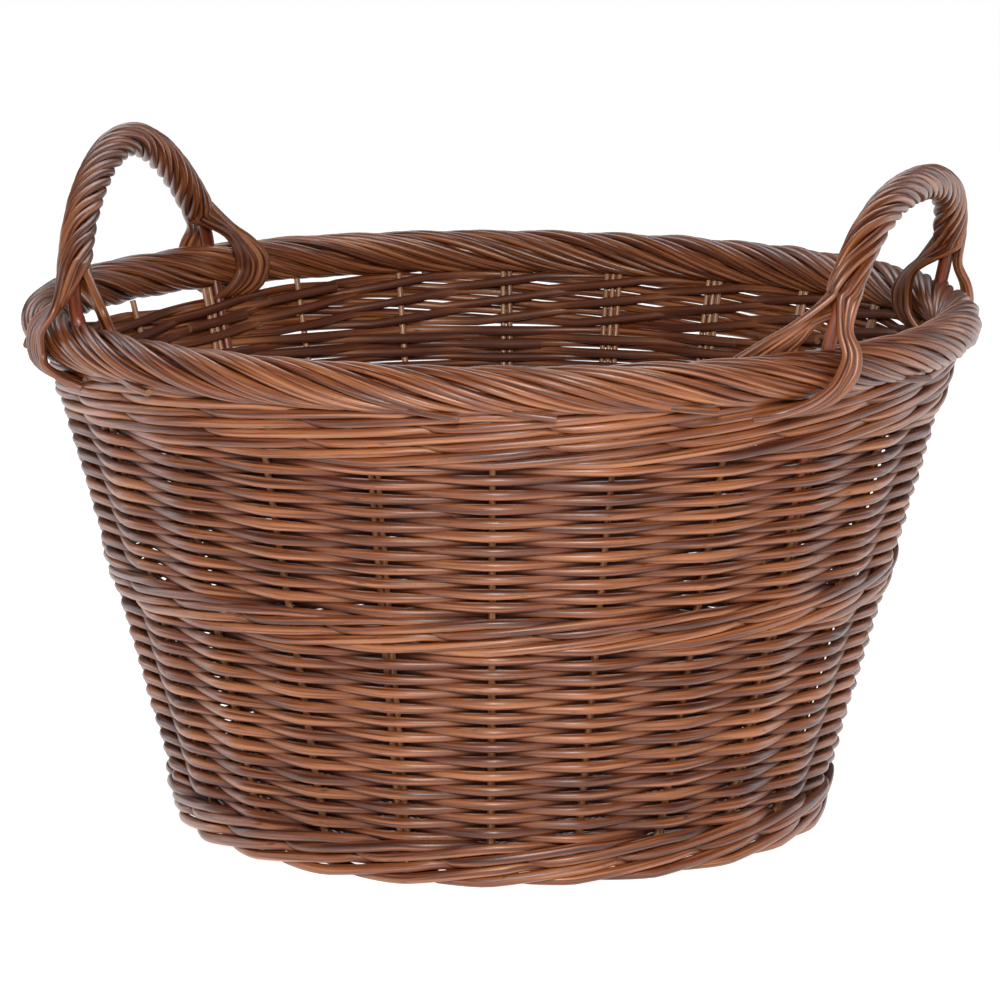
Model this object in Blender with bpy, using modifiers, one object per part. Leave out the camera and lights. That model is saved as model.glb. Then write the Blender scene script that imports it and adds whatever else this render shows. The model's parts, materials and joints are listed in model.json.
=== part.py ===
"""Woven willow basket: a round stick base, an upright stake wall with woven bands, a rope border
and two roped bow handles. Metres, +Z up, origin on the floor under the middle of the basket."""

import math

import bmesh
import bpy
from mathutils import Matrix, Vector

# ---- driving dimensions ----
STAKES = 24                     # side stakes round the wall
STAKE_OFFSET = math.radians(1.75)   # the first stake's angle from +X
STAKE_RADIUS = 0.0035
FLOOR_RADIUS = 0.2035           # stake centre line, carried down to the floor
RIM_X = 0.2970                  # stake centre line at the border, half length and half width
RIM_Y = 0.2835
BORDER_X = 0.3000               # centre line of the border
BORDER_Y = 0.2865
BORDER_HEIGHT = 0.3300
BORDER_RADIUS = 0.0160
GAP = 0.0003                    # between pieces that touch

WEAVE_THICKNESS = 0.0045        # one woven band
WEAVE_SWING = 0.0086            # how far a band swings out and in round the stakes
BAND_STEPS = 3                  # straight lengths of a band from one stake to the next
BAND_GAP = 0.0016               # between one band and the next one up
FOOT_WALE_TOP = 0.0290
FOOT_WALE_THICKNESS = 0.0090
LOWER_SIDING_TOP = 0.1570
MIDDLE_WALE_TOP = 0.1810
UPPER_SIDING_TOP = 0.2800
TOP_WALE_TOP = 0.3125
SIDING_COURSES = 3              # bands in each stretch of siding

BASE_STICKS = 6                 # sticks each way through the middle of the base
BASE_STICK_RADIUS = 0.0040
BASE_STICK_PITCH = 0.0090
BASE_RADIUS = 0.1960
BASE_LEVEL = 0.0172             # centre height of the spread sticks
SLATH_HALF = 0.0360             # half length of the straight crossing in the middle
WEAVE_START = 0.0580            # where the base weaving starts
BASE_WEAVE_HEIGHT = 0.0055
STAKE_START = 0.1500            # how far in the side stakes are pushed beside the sticks

SPRING_HEIGHT = 0.3450          # where a handle's arch leaves the line of the wall
BOW_RADIUS = 0.0045
BOW_BOTTOM = 0.2250             # how deep the bow is pushed down beside a stake
BOW_TIP = 0.6000                # its lower end's share of the full thickness
WRAP_RADIUS = 0.0115
LASHING_RADIUS = 0.0058
ARCH_STEPS = 14                 # points in half an arch
# Each handle: its side, the angles of its feet from the long axis, the middle of its top, how far its legs
# run straight up (leg) and its top runs level (crown), as shares of the arch, and where its wrap ends.
HANDLES = {
    "right": {"side": 1, "front": math.radians(30.0), "back": math.radians(30.0),
              "top": (0.2796, -0.0188, 0.4288), "leg": 0.754, "crown": 0.556, "wrap_bottom": 0.3720},
    "left": {"side": -1, "front": math.radians(45.0), "back": math.radians(30.0),
             "top": (0.2591, -0.0077, 0.4362), "leg": 0.209, "crown": 0.415, "wrap_bottom": 0.3780},
}

# ---- colours: name, (red, green, blue), roughness ----
BROWN_WILLOW = (0.230, 0.105, 0.055)
PALE_WILLOW = (0.330, 0.180, 0.100)
RED_WILLOW = (0.190, 0.050, 0.025)


def clear_scene():
    for existing in list(bpy.data.objects):
        bpy.data.objects.remove(existing, do_unlink=True)


def new_collection(name):
    collection = bpy.data.collections.new(name)
    bpy.context.scene.collection.children.link(collection)
    return collection


def willow(name, colour, roughness=0.45):
    material = bpy.data.materials.new(name)
    material.use_nodes = True
    shader = material.node_tree.nodes["Principled BSDF"]
    shader.inputs["Base Color"].default_value = (*colour, 1.0)
    shader.inputs["Roughness"].default_value = roughness
    shader.inputs["Metallic"].default_value = 0.0
    material.diffuse_color = (*colour, 1.0)
    return material


def add_object(name, data, collection, colour):
    piece = bpy.data.objects.new(name, data)
    collection.objects.link(piece)
    if colour is not None:
        data.materials.append(willow(name + "_willow", colour))
    return piece


def tube(name, points, radius, collection, colour, cyclic=False, resolution=2, caps=True, taper=None):
    """A round rod along a list of points; taper gives each point's share of the radius."""
    curve = bpy.data.curves.new(name, "CURVE")
    curve.dimensions = "3D"
    curve.bevel_depth = radius
    curve.bevel_resolution = resolution
    curve.render_resolution_u = 0
    curve.use_fill_caps = caps and not cyclic
    spline = curve.splines.new("POLY")
    spline.points.add(len(points) - 1)
    for knot, point, share in zip(spline.points, points, taper or [1.0] * len(points)):
        knot.co = (*point, 1.0)
        knot.radius = share
    spline.use_cyclic_u = cyclic
    return add_object(name, curve, collection, colour)


def as_mesh(curve_object, collection, colour):
    """The same piece as a welded mesh, for cutting."""
    name = curve_object.name
    evaluated = curve_object.evaluated_get(bpy.context.evaluated_depsgraph_get())
    mesh = bpy.data.meshes.new_from_object(evaluated)
    place = curve_object.matrix_world.copy()
    bpy.data.objects.remove(curve_object, do_unlink=True)
    shape = bmesh.new()
    shape.from_mesh(mesh)
    bmesh.ops.remove_doubles(shape, verts=shape.verts, dist=0.00001)
    shape.to_mesh(mesh)
    shape.free()
    mesh.materials.clear()
    piece = add_object(name, mesh, collection, colour)
    piece.matrix_world = place
    return piece


def shade_round(piece, angle=math.radians(35)):
    piece.data.shade_smooth()
    piece.data.set_sharp_from_angle(angle=angle)


def wall_point(angle, height, outward=0.0):
    """A point on the stakes' centre surface, moved outward, at an angle and a height."""
    share = height / BORDER_HEIGHT
    half_x = FLOOR_RADIUS + (RIM_X - FLOOR_RADIUS) * share + outward
    half_y = FLOOR_RADIUS + (RIM_Y - FLOOR_RADIUS) * share + outward
    return Vector((half_x * math.cos(angle), half_y * math.sin(angle), height))


def stake_angle(number):
    return STAKE_OFFSET + number * math.tau / STAKES


# ---- base ----
def base_stick(name, number, turned, collection):
    """One stick: straight and side by side with the others through the middle, then spread like a fan."""
    side = number - (BASE_STICKS - 1) / 2
    spread = side * math.tau / (4 * BASE_STICKS)
    crossing = BASE_LEVEL + (1 if turned else -1) * (BASE_STICK_RADIUS + GAP / 2)
    half = [Vector((0.0, side * BASE_STICK_PITCH, crossing))]
    half.append(Vector((SLATH_HALF, side * BASE_STICK_PITCH, crossing)))
    for reach in (WEAVE_START - 0.002, BASE_RADIUS):
        half.append(Vector((reach * math.cos(spread), reach * math.sin(spread), BASE_LEVEL)))
    mirrored = [Vector((-point.x, point.y, point.z)) for point in reversed(half[1:])]
    turn = Matrix.Rotation(math.pi / 2 if turned else 0.0, 4, "Z")
    points = [turn @ point for point in mirrored + half]
    return tube(name, points, BASE_STICK_RADIUS, collection, PALE_WILLOW)


def turned_ring(name, profile, collection, colour, steps=72):
    """A ring from a closed outline of (radius, height) points, outer side first, top to bottom."""
    shape = bmesh.new()
    corners = [shape.verts.new((radius, 0.0, height)) for radius, height in profile]
    for start, end in zip(corners, corners[1:] + corners[:1]):
        shape.edges.new((start, end))
    mesh = bpy.data.meshes.new(name)
    shape.to_mesh(mesh)
    shape.free()
    ring = add_object(name, mesh, collection, colour)
    screw = ring.modifiers.new("turn", "SCREW")
    screw.steps = steps
    screw.render_steps = steps
    screw.use_merge_vertices = True
    screw.merge_threshold = 0.00001
    return ring


def base_weave(name, bottom, collection):
    top = bottom + BASE_WEAVE_HEIGHT
    profile = [(BASE_RADIUS, top), (BASE_RADIUS, bottom), (WEAVE_START, bottom), (WEAVE_START, top)]
    return turned_ring(name, profile, collection, BROWN_WILLOW, steps=48)


# ---- wall ----
def side_stake(number, collection):
    """A stake: pushed in beside the base sticks, turned up at the edge and straight up to the border."""
    angle = stake_angle(number)
    turn_up = [(STAKE_START, 0.0), (BASE_RADIUS + 0.0015, 0.0), (0.2045, 0.0014), (0.2086, 0.0052)]
    points = [Vector((r * math.cos(angle), r * math.sin(angle), BASE_LEVEL + rise)) for r, rise in turn_up]
    points.append(wall_point(angle, FOOT_WALE_TOP + 0.001))
    points.append(wall_point(angle, BORDER_HEIGHT - BORDER_RADIUS + 0.0008))
    return tube("side_stake_%02d" % (number + 1), points, STAKE_RADIUS, collection, PALE_WILLOW)


def woven_band(name, low, high, phase, collection):
    """A band of weaving that passes outside one stake and inside the next."""
    columns = STAKES * BAND_STEPS
    shape = bmesh.new()
    bottom = bmesh.ops.create_circle(shape, cap_ends=False, segments=columns, radius=1.0)["verts"]
    edges = list({edge for corner in bottom for edge in corner.link_edges})
    risen = bmesh.ops.extrude_edge_only(shape, edges=edges)["geom"]
    top = {part for part in risen if isinstance(part, bmesh.types.BMVert)}
    for corner in shape.verts:
        angle = math.atan2(corner.co.y, corner.co.x)
        angle = STAKE_OFFSET + round(angle / math.tau * columns) * math.tau / columns
        swing = phase * WEAVE_SWING * math.cos((angle - STAKE_OFFSET) * STAKES / 2)
        corner.co = wall_point(angle, high if corner in top else low, swing)
    bmesh.ops.recalc_face_normals(shape, faces=shape.faces)
    mesh = bpy.data.meshes.new(name)
    shape.to_mesh(mesh)
    shape.free()
    band = add_object(name, mesh, collection, BROWN_WILLOW)
    thick = band.modifiers.new("thickness", "SOLIDIFY")
    thick.thickness = WEAVE_THICKNESS
    thick.offset = 0.0
    return band


def siding(name, low, high, collection):
    """A stretch of siding as courses that swap sides at every stake."""
    course = (high - low + BAND_GAP) / SIDING_COURSES
    for number in range(SIDING_COURSES):
        bottom = low + number * course
        phase = 1 if number % 2 == 0 else -1
        woven_band("%s_%d" % (name, number + 1), bottom, bottom + course - BAND_GAP, phase, collection)


def foot_wale(collection):
    """The wale round the foot: it lies outside the stakes and its flat underside is what stands."""
    profile = []
    inner = STAKE_RADIUS + 0.0006
    for height, outward in (
        (FOOT_WALE_TOP, inner + FOOT_WALE_THICKNESS),
        (0.0, inner + FOOT_WALE_THICKNESS),
        (0.0, inner),
        (FOOT_WALE_TOP, inner),
    ):
        profile.append((wall_point(0.0, height, outward).x, height))
    return turned_ring("foot_wale", profile, collection, BROWN_WILLOW)


# ---- handles ----
def bezier(start, leaving, arriving, end):
    """Points of a cubic curve, without its last one."""
    points = []
    for step in range(ARCH_STEPS):
        t = step / ARCH_STEPS
        u = 1 - t
        points.append(u ** 3 * start + 3 * u * u * t * leaving + 3 * u * t * t * arriving + t ** 3 * end)
    return points


def handle_path(handle):
    """The bow's centre line from its front foot over the top to its back foot."""
    top = Vector(handle["top"])
    legs = []
    for angle in (-handle["front"], handle["back"]):
        buried = [wall_point(angle, height) for height in (BOW_BOTTOM, 0.260, 0.300, 0.325)]
        spring = wall_point(angle, SPRING_HEIGHT)
        leaving = spring + handle["leg"] * Vector((top.x - spring.x, 0.0, top.z - spring.z))
        arriving = top + handle["crown"] * Vector((0.0, spring.y - top.y, 0.0))
        legs.append(buried + bezier(spring, leaving, arriving, top))
    points = legs[0] + [top] + legs[1][::-1]
    return [Vector((handle["side"] * point.x, point.y, point.z)) for point in points]


def handle_bow(name, path, collection):
    """The bow, pared thinner where it is pushed down inside the wall."""
    low, high = BOW_BOTTOM, BORDER_HEIGHT
    taper = [BOW_TIP + (1 - BOW_TIP) * min(1.0, (point.z - low) / (high - low)) for point in path]
    return tube(name, path, BOW_RADIUS, collection, RED_WILLOW, taper=taper)


def handle_wrap(name, path, bottom, collection):
    """The rope of fine rods round the bow, as one sleeve with the bow running through it."""
    covered = [point for point in path if point.z >= bottom]
    sleeve = tube(name, covered, WRAP_RADIUS, collection, None, caps=False)
    sleeve = as_mesh(sleeve, collection, BROWN_WILLOW)
    thick = sleeve.modifiers.new("thickness", "SOLIDIFY")
    thick.thickness = WRAP_RADIUS - BOW_RADIUS - 3 * GAP
    thick.offset = -1.0
    return sleeve


def bow_at(foot, height):
    """The middle of the bow where its foot passes a height; foot runs upward."""
    for below, above in zip(foot, foot[1:]):
        if above.z >= height:
            return below.lerp(above, (height - below.z) / (above.z - below.z))
    return foot[-1].copy()


def lashing_top(foot, wrap_bottom):
    """How high a lashing may start under the slanting end of the wrap."""
    ahead = bow_at(foot, wrap_bottom + 0.006) - bow_at(foot, wrap_bottom)
    slant = ahead.xy.length / ahead.length
    return wrap_bottom - 0.0020 - (WRAP_RADIUS + 0.0015) * slant


def lashing(name, foot, foot_angle, top, profile, collection):
    """A bundle of wrapping rods: it leaves the bow and straddles the border, along (outward, height) points.
    A height over 1 is a share of the way from the border's shoulder to the top, plus one."""
    rim = Vector((BORDER_X * math.cos(foot_angle), BORDER_Y * math.sin(foot_angle), 0.0))
    outward = Vector((math.cos(foot_angle) / BORDER_X, math.sin(foot_angle) / BORDER_Y, 0.0)).normalized()
    shoulder = BORDER_HEIGHT + BORDER_RADIUS
    points = []
    for offset, height in profile:
        if height >= 1.0:
            height = shoulder + (height - 1.0) * (top - shoulder)
        share = min(1.0, max(0.0, (height - BORDER_HEIGHT) / (top - BORDER_HEIGHT)))
        middle = rim.lerp(bow_at(foot, height), share)
        middle.z = height
        points.append(middle + outward * offset)
    return tube(name, points, LASHING_RADIUS, collection, BROWN_WILLOW)


# (outward, height) from the end of the wrap down over the border
OUTER_LASHING = [(0.0112, 2.00), (0.0155, 1.50), (0.0215, 1.00), (0.0245, 0.3380), (0.0250, 0.3280),
                 (0.0220, 0.3160), (0.0155, 0.3080)]
INNER_LASHING = [(-0.0112, 2.00), (-0.0155, 1.55), (-0.0215, 1.08), (-0.0250, 0.3390),
                 (-0.0265, 0.3280), (-0.0278, 0.3160), (-0.0283, 0.3060)]


def handles(collection):
    bows = []
    for side_name, handle in HANDLES.items():
        path = handle_path(handle)
        bows.append(path)
        handle_bow("handle_bow_" + side_name, path, collection)
        handle_wrap("handle_wrap_" + side_name, path, handle["wrap_bottom"], collection)
        half = len(path) // 2
        for end_name, sign, foot in (("front", -1, path[:half]), ("back", 1, path[:half:-1])):
            angle = sign * handle[end_name]
            if handle["side"] < 0:
                angle = math.pi - angle
            top = lashing_top(foot, handle["wrap_bottom"])
            foot_name = "foot_lashing_%s_%s" % (side_name, end_name)
            lashing(foot_name + "_outer", foot, angle, top, OUTER_LASHING, collection)
            lashing(foot_name + "_inner", foot, angle, top, INNER_LASHING, collection)
    return bows


# ---- border ----
def border(bows, collection, cutters):
    """The rope border, with a hole where each end of a bow is pushed down through it."""
    count = STAKES * BAND_STEPS
    ring = []
    for step in range(count):
        angle = math.tau * step / count
        ring.append(Vector((BORDER_X * math.cos(angle), BORDER_Y * math.sin(angle), BORDER_HEIGHT)))
    rope = tube("border_rope", ring, BORDER_RADIUS, collection, None, cyclic=True, resolution=3)
    rope = as_mesh(rope, collection, BROWN_WILLOW)
    for number, path in enumerate(bows):
        for end_name, reach in (("first", path[2:8]), ("last", path[-8:-2])):
            name = "bow_hole_%s_%d" % (end_name, number)
            hole = tube(name, reach, BOW_RADIUS + 2 * GAP, cutters, None)
            hole = as_mesh(hole, cutters, None)
            hole.hide_render = True
            hole.display_type = "WIRE"
            cut = rope.modifiers.new(name, "BOOLEAN")
            cut.operation = "DIFFERENCE"
            cut.object = hole
    return rope


def build():
    clear_scene()
    basket = new_collection("willow_basket")
    cutters = new_collection("cutters")
    for number in range(BASE_STICKS):
        base_stick("base_stick_long_%d" % (number + 1), number, False, basket)
        base_stick("base_stick_cross_%d" % (number + 1), number, True, basket)
    clearance = BASE_STICK_RADIUS + GAP
    base_weave("base_weave_lower", BASE_LEVEL - clearance - BASE_WEAVE_HEIGHT, basket)
    base_weave("base_weave_upper", BASE_LEVEL + clearance, basket)
    for number in range(STAKES):
        side_stake(number, basket)
    foot_wale(basket)
    siding("lower_siding", FOOT_WALE_TOP + BAND_GAP, LOWER_SIDING_TOP - BAND_GAP, basket)
    woven_band("middle_wale", LOWER_SIDING_TOP, MIDDLE_WALE_TOP, -1, basket)
    siding("upper_siding", MIDDLE_WALE_TOP + BAND_GAP, UPPER_SIDING_TOP - BAND_GAP, basket)
    woven_band("top_wale", UPPER_SIDING_TOP, TOP_WALE_TOP, -1, basket)
    bows = handles(basket)
    border(bows, basket, cutters)
    for piece in basket.objects:
        if piece.type == "MESH":
            shade_round(piece)


build()
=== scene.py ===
# %% [markdown]
# # A woven willow basket
#
# A willow basket is made of one thing only: rods. Sticks cross in the middle of the base, thin rods are
# woven round them, stakes are pushed in beside the sticks and turned up, and rods are woven round the
# stakes in stretches: a foot wale, siding, a middle wale, more siding and a top wale. The stakes' own
# ends are then laid down round the rim as a thick rope, and two bows, covered in rope, make the handles.
#
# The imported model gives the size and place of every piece. Here each plain solid is replaced by the
# rods that the real piece is laid from.

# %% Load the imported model
import json
import math
import random

import bmesh
import bpy
import numpy as np
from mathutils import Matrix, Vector

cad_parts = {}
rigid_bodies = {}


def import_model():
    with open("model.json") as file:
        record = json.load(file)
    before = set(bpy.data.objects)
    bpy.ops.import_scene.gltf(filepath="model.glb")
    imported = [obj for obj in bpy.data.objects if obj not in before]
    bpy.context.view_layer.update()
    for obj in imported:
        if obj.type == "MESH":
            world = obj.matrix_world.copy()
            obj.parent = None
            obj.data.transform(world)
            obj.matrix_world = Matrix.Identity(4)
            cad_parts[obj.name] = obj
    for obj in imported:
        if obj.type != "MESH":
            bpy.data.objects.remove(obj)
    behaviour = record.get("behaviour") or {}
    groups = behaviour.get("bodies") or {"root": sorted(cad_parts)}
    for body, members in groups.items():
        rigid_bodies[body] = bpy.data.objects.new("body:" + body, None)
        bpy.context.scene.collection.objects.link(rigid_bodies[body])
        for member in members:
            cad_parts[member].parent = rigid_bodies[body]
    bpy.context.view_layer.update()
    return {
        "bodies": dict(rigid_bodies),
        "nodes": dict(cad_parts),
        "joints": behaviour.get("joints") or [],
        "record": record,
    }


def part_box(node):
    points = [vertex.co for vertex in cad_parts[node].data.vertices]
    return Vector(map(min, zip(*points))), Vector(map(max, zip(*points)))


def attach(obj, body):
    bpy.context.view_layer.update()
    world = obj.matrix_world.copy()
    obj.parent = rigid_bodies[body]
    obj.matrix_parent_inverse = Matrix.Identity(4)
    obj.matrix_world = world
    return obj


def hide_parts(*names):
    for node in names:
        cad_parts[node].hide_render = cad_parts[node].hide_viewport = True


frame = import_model()
print("packed model:", len(frame["nodes"]), "nodes")

# %% [markdown]
# ## Measures
#
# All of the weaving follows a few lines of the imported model: the border's centre line, the line that
# the stakes stand on from the floor to the border, and the heights where each stretch of weaving
# begins and ends. Angles run round the basket, counter-clockwise from above, in steps of one stake.

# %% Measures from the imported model
rope_radius = 0.0160                    # half the border's thickness
border_low, border_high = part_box("border_rope")
border_x = border_high.x - rope_radius
border_y = border_high.y - rope_radius
border_height = (border_low.z + border_high.z) / 2
stake_inset = 0.0030                    # stakes stand this far inside the border's centre line
rim_x = border_x - stake_inset
rim_y = border_y - stake_inset
floor_radius = 0.2035                   # the line of the stakes meets the floor here
stakes = 24
stake_offset = math.radians(1.75)       # the first stake's angle
foot_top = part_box("foot_wale")[1].z
middle_low, middle_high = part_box("middle_wale")[0].z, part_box("middle_wale")[1].z
top_low, top_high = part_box("top_wale")[0].z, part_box("top_wale")[1].z
print("border", round(border_x, 4), round(border_y, 4), round(border_height, 4))


def wall(angle, height, outward=0.0):
    """A point on the surface that the stakes stand in, moved outward."""
    share = height / border_height
    half_x = floor_radius + (rim_x - floor_radius) * share + outward
    half_y = floor_radius + (rim_y - floor_radius) * share + outward
    return Vector((half_x * math.cos(angle), half_y * math.sin(angle), height))


def stake_angle(number):
    """The angle of a stake; a fraction of a number lies between two stakes."""
    return stake_offset + number * math.tau / stakes


def placed(name, data):
    """A new object in the scene."""
    made = bpy.data.objects.new(name, data)
    bpy.context.scene.collection.objects.link(made)
    return made


# %% [markdown]
# ## Camera
#
# A shop shows a basket like this from a little above and with a long lens. The long lens keeps the
# ellipse of the border flat, and the far side nearly as large as the near side.

# %% Camera
view_turn = math.radians(18.36)         # the camera stands this far round from straight in front
view_rise = math.radians(11.93)         # and this far above the level of the basket's middle
view_distance = 3.678
view_middle = Vector((0.0, 0.0, 0.1452))
aim_angle = 0.0165                      # it points this far above that middle, in radians
aim_lift = math.tan(aim_angle) * view_distance
lens_length = 200.16                    # millimetres, as is the sensor's width
sensor_width = 36.0
far_limit = 50.0                        # nothing farther off than this is drawn

backward = Vector((math.sin(view_turn) * math.cos(view_rise),
                   -math.cos(view_turn) * math.cos(view_rise), math.sin(view_rise)))
lens_data = bpy.data.cameras.new("camera")
lens_data.sensor_width = sensor_width
lens_data.lens = lens_length
lens_data.clip_end = far_limit
camera = placed("camera", lens_data)
camera.location = view_middle + backward * view_distance
side = (-backward).cross(Vector((0, 0, 1))).normalized()
upward = side.cross(-backward).normalized()
aim = view_middle + upward * aim_lift
camera.rotation_euler = (aim - camera.location).to_track_quat("-Z", "Y").to_euler()
bpy.context.scene.camera = camera
print("lens", round(lens_data.lens, 1), "mm at", round(view_distance, 2), "m")

# %% [markdown]
# ## Floor
#
# The basket stands on white paper. The sheet reaches so far back that it fills the view, and it shines
# by itself, so that it stays an even white under lights that are set for the dark willow.

# %% Floor
floor_half = 40.0                       # half the side of the sheet
paper_grey = 0.50
paper_glow = 0.94

floor_shape = bmesh.new()
bmesh.ops.create_grid(floor_shape, x_segments=1, y_segments=1, size=floor_half)
floor_mesh = bpy.data.meshes.new("floor")
floor_shape.to_mesh(floor_mesh)
floor_shape.free()
floor = placed("floor", floor_mesh)
paper = bpy.data.materials.new("white_paper")
paper.use_nodes = True
paper_shader = paper.node_tree.nodes["Principled BSDF"]
paper_shader.inputs["Base Color"].default_value = (paper_grey, paper_grey, paper_grey, 1.0)
paper_shader.inputs["Roughness"].default_value = 1.0
paper_shader.inputs["Specular IOR Level"].default_value = 0.0
paper_shader.inputs["Emission Color"].default_value = (1.0, 1.0, 1.0, 1.0)
paper_shader.inputs["Emission Strength"].default_value = paper_glow
floor_mesh.materials.append(paper)
bpy.context.scene.view_settings.view_transform = "Standard"
print("floor:", 2 * floor_half, "m square")

# %% [markdown]
# ## Lights
#
# One warm box at the front lights the willow softly. Cooler panels at the sides and behind give the rods
# the pale edges that a satin lacquer shows, and a faint even light from all round fills the shadows.

# %% Lights
lit_middle = Vector((0, 0, 0.2))        # every light faces this point
warm_white = (1.0, 0.965, 0.91)
cool_white = (0.84, 0.91, 1.0)
faint_cool_white = (0.92, 0.95, 1.0)
sky_strength = 0.10


def panel(name, turn, rise, distance, size, power, colour):
    """A soft rectangular light: its angles in degrees, distance and size in metres, power in watts."""
    light = bpy.data.lights.new(name, "AREA")
    light.shape = "RECTANGLE"
    light.size, light.size_y = size
    light.energy = power
    light.color = colour
    holder = placed(name, light)
    turn, rise = math.radians(turn), math.radians(rise)
    place = Vector((math.sin(turn) * math.cos(rise), -math.cos(turn) * math.cos(rise), math.sin(rise)))
    holder.location = lit_middle + place * distance
    holder.rotation_euler = (-place).to_track_quat("-Z", "Y").to_euler()


panel("front_box", 19.0, 24.0, 2.6, (0.36, 0.6), 46.0, warm_white)
panel("left_panel", -96.0, 8.0, 2.2, (0.4, 1.8), 10.0, cool_white)
panel("right_panel", 132.0, 8.0, 2.2, (0.4, 1.8), 9.0, cool_white)
panel("back_panel", 198.0, 50.0, 2.2, (2.0, 1.0), 22.0, faint_cool_white)
sky = bpy.data.worlds.new("studio")
sky.use_nodes = True
sky.node_tree.nodes["Background"].inputs["Color"].default_value = (1.0, 1.0, 1.0, 1.0)
sky.node_tree.nodes["Background"].inputs["Strength"].default_value = sky_strength
bpy.context.scene.world = sky

# %% [markdown]
# ## A small language for materials
#
# Shader nodes are easier to read as sums than as boxes and wires. `Wire` is a socket that does
# arithmetic: each operator adds one Math node. `Board` holds one material and adds any other node.

# %% Material helpers
class Wire:
    """A node's output that can be added, multiplied and so on."""

    def __init__(self, board, socket):
        self.board, self.socket = board, socket

    def joined(self, operation, first, second):
        return self.board.node("ShaderNodeMath", {"operation": operation}, {0: first, 1: second})

    def __add__(self, other):
        return self.joined("ADD", self, other)

    def __sub__(self, other):
        return self.joined("SUBTRACT", self, other)

    def __mul__(self, other):
        return self.joined("MULTIPLY", self, other)

    def __radd__(self, other):
        return self.joined("ADD", other, self)

    def __rsub__(self, other):
        return self.joined("SUBTRACT", other, self)

    def __rmul__(self, other):
        return self.joined("MULTIPLY", other, self)

    def clamped(self):
        """The same value, kept between 0 and 1."""
        return self.joined("MINIMUM", self.joined("MAXIMUM", self, 0.0), 1.0)


class Board:
    """One material and its nodes."""

    def __init__(self, name):
        self.material = bpy.data.materials.new(name)
        self.material.use_nodes = True
        self.tree = self.material.node_tree
        self.shader = self.tree.nodes["Principled BSDF"]

    def plug(self, socket, value):
        """Links a socket to a wire, or sets it to a constant."""
        if isinstance(value, Wire):
            self.tree.links.new(value.socket, socket)
        else:
            socket.default_value = value

    def node(self, kind, settings=None, inputs=None, output=0):
        """Adds any node: first its settings, then the values or wires of its sockets."""
        made = self.tree.nodes.new(kind)
        for key, value in (settings or {}).items():
            if key == "stops":
                self.set_stops(made.color_ramp, value)
            else:
                setattr(made, key, value)
        for key, value in (inputs or {}).items():
            self.plug(made.inputs[key], value)
        return Wire(self, made.outputs[output])

    @staticmethod
    def set_stops(ramp, stops):
        while len(ramp.elements) < len(stops):
            ramp.elements.new(1.0)
        for element, (place, colour) in zip(ramp.elements, stops):
            element.position = place
            element.color = (*colour, 1.0)

    def blend(self, share, first, second):
        """A colour between two colours."""
        def full(value):
            return value if isinstance(value, Wire) else (*value, 1.0)
        settings = {"data_type": "RGBA", "clamp_factor": True}
        colours = {0: share, 6: full(first), 7: full(second)}     # a colour Mix has its sockets here
        return self.node("ShaderNodeMix", settings, colours, output=2)

    def finish(self, **values):
        """Plugs values into the shader's own sockets and hands over the material."""
        for key, value in values.items():
            self.plug(self.shader.inputs[key.replace("_", " ")], value)
        return self.material


# %% [markdown]
# ## Willow
#
# Steamed willow keeps its bark: brown, with long fine streaks along the rod, slow changes of tone on
# its way, small dark marks where buds sat, and a satin lacquer over it all. Every rod has its own tone,
# and where a rod dives behind a stake, painted shade darkens its bark and its lacquer is dulled. The rods
# carry four attributes for this: `grain` holds the direction round the rod and the distance along it,
# `tone` is one random number for each rod, `cut` is 1 on a cut end, and `stain`, the painted shade, is 1
# where it dives deepest.
# Because the streaks use `grain`, they run along every rod, however it bends.

# %% Willow finishes
bark_roughness = 0.42
lacquer_weight = 0.4
lacquer_roughness = 0.30
bump_depth = 0.0007                     # metres from a groove's bottom to its top
bud_level = 0.69                        # the noise shows a bud mark above this
pattern_shift = (37.0, 91.0)            # moves each rod's pattern round and along, so no two are alike
willow_colours = {
    # dark, middle and light bark, then a cut end
    "brown_willow": [(0.056, 0.010, 0.003), (0.215, 0.059, 0.018), (0.430, 0.160, 0.060),
                     (0.26, 0.13, 0.07)],
    "pale_willow": [(0.170, 0.060, 0.024), (0.370, 0.158, 0.068), (0.520, 0.280, 0.140),
                    (0.44, 0.29, 0.16)],
    "red_willow": [(0.080, 0.014, 0.005), (0.200, 0.038, 0.013), (0.280, 0.072, 0.026),
                   (0.40, 0.24, 0.13)],
}


def shaded(colour, share):
    return tuple(share * part for part in colour)


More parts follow.
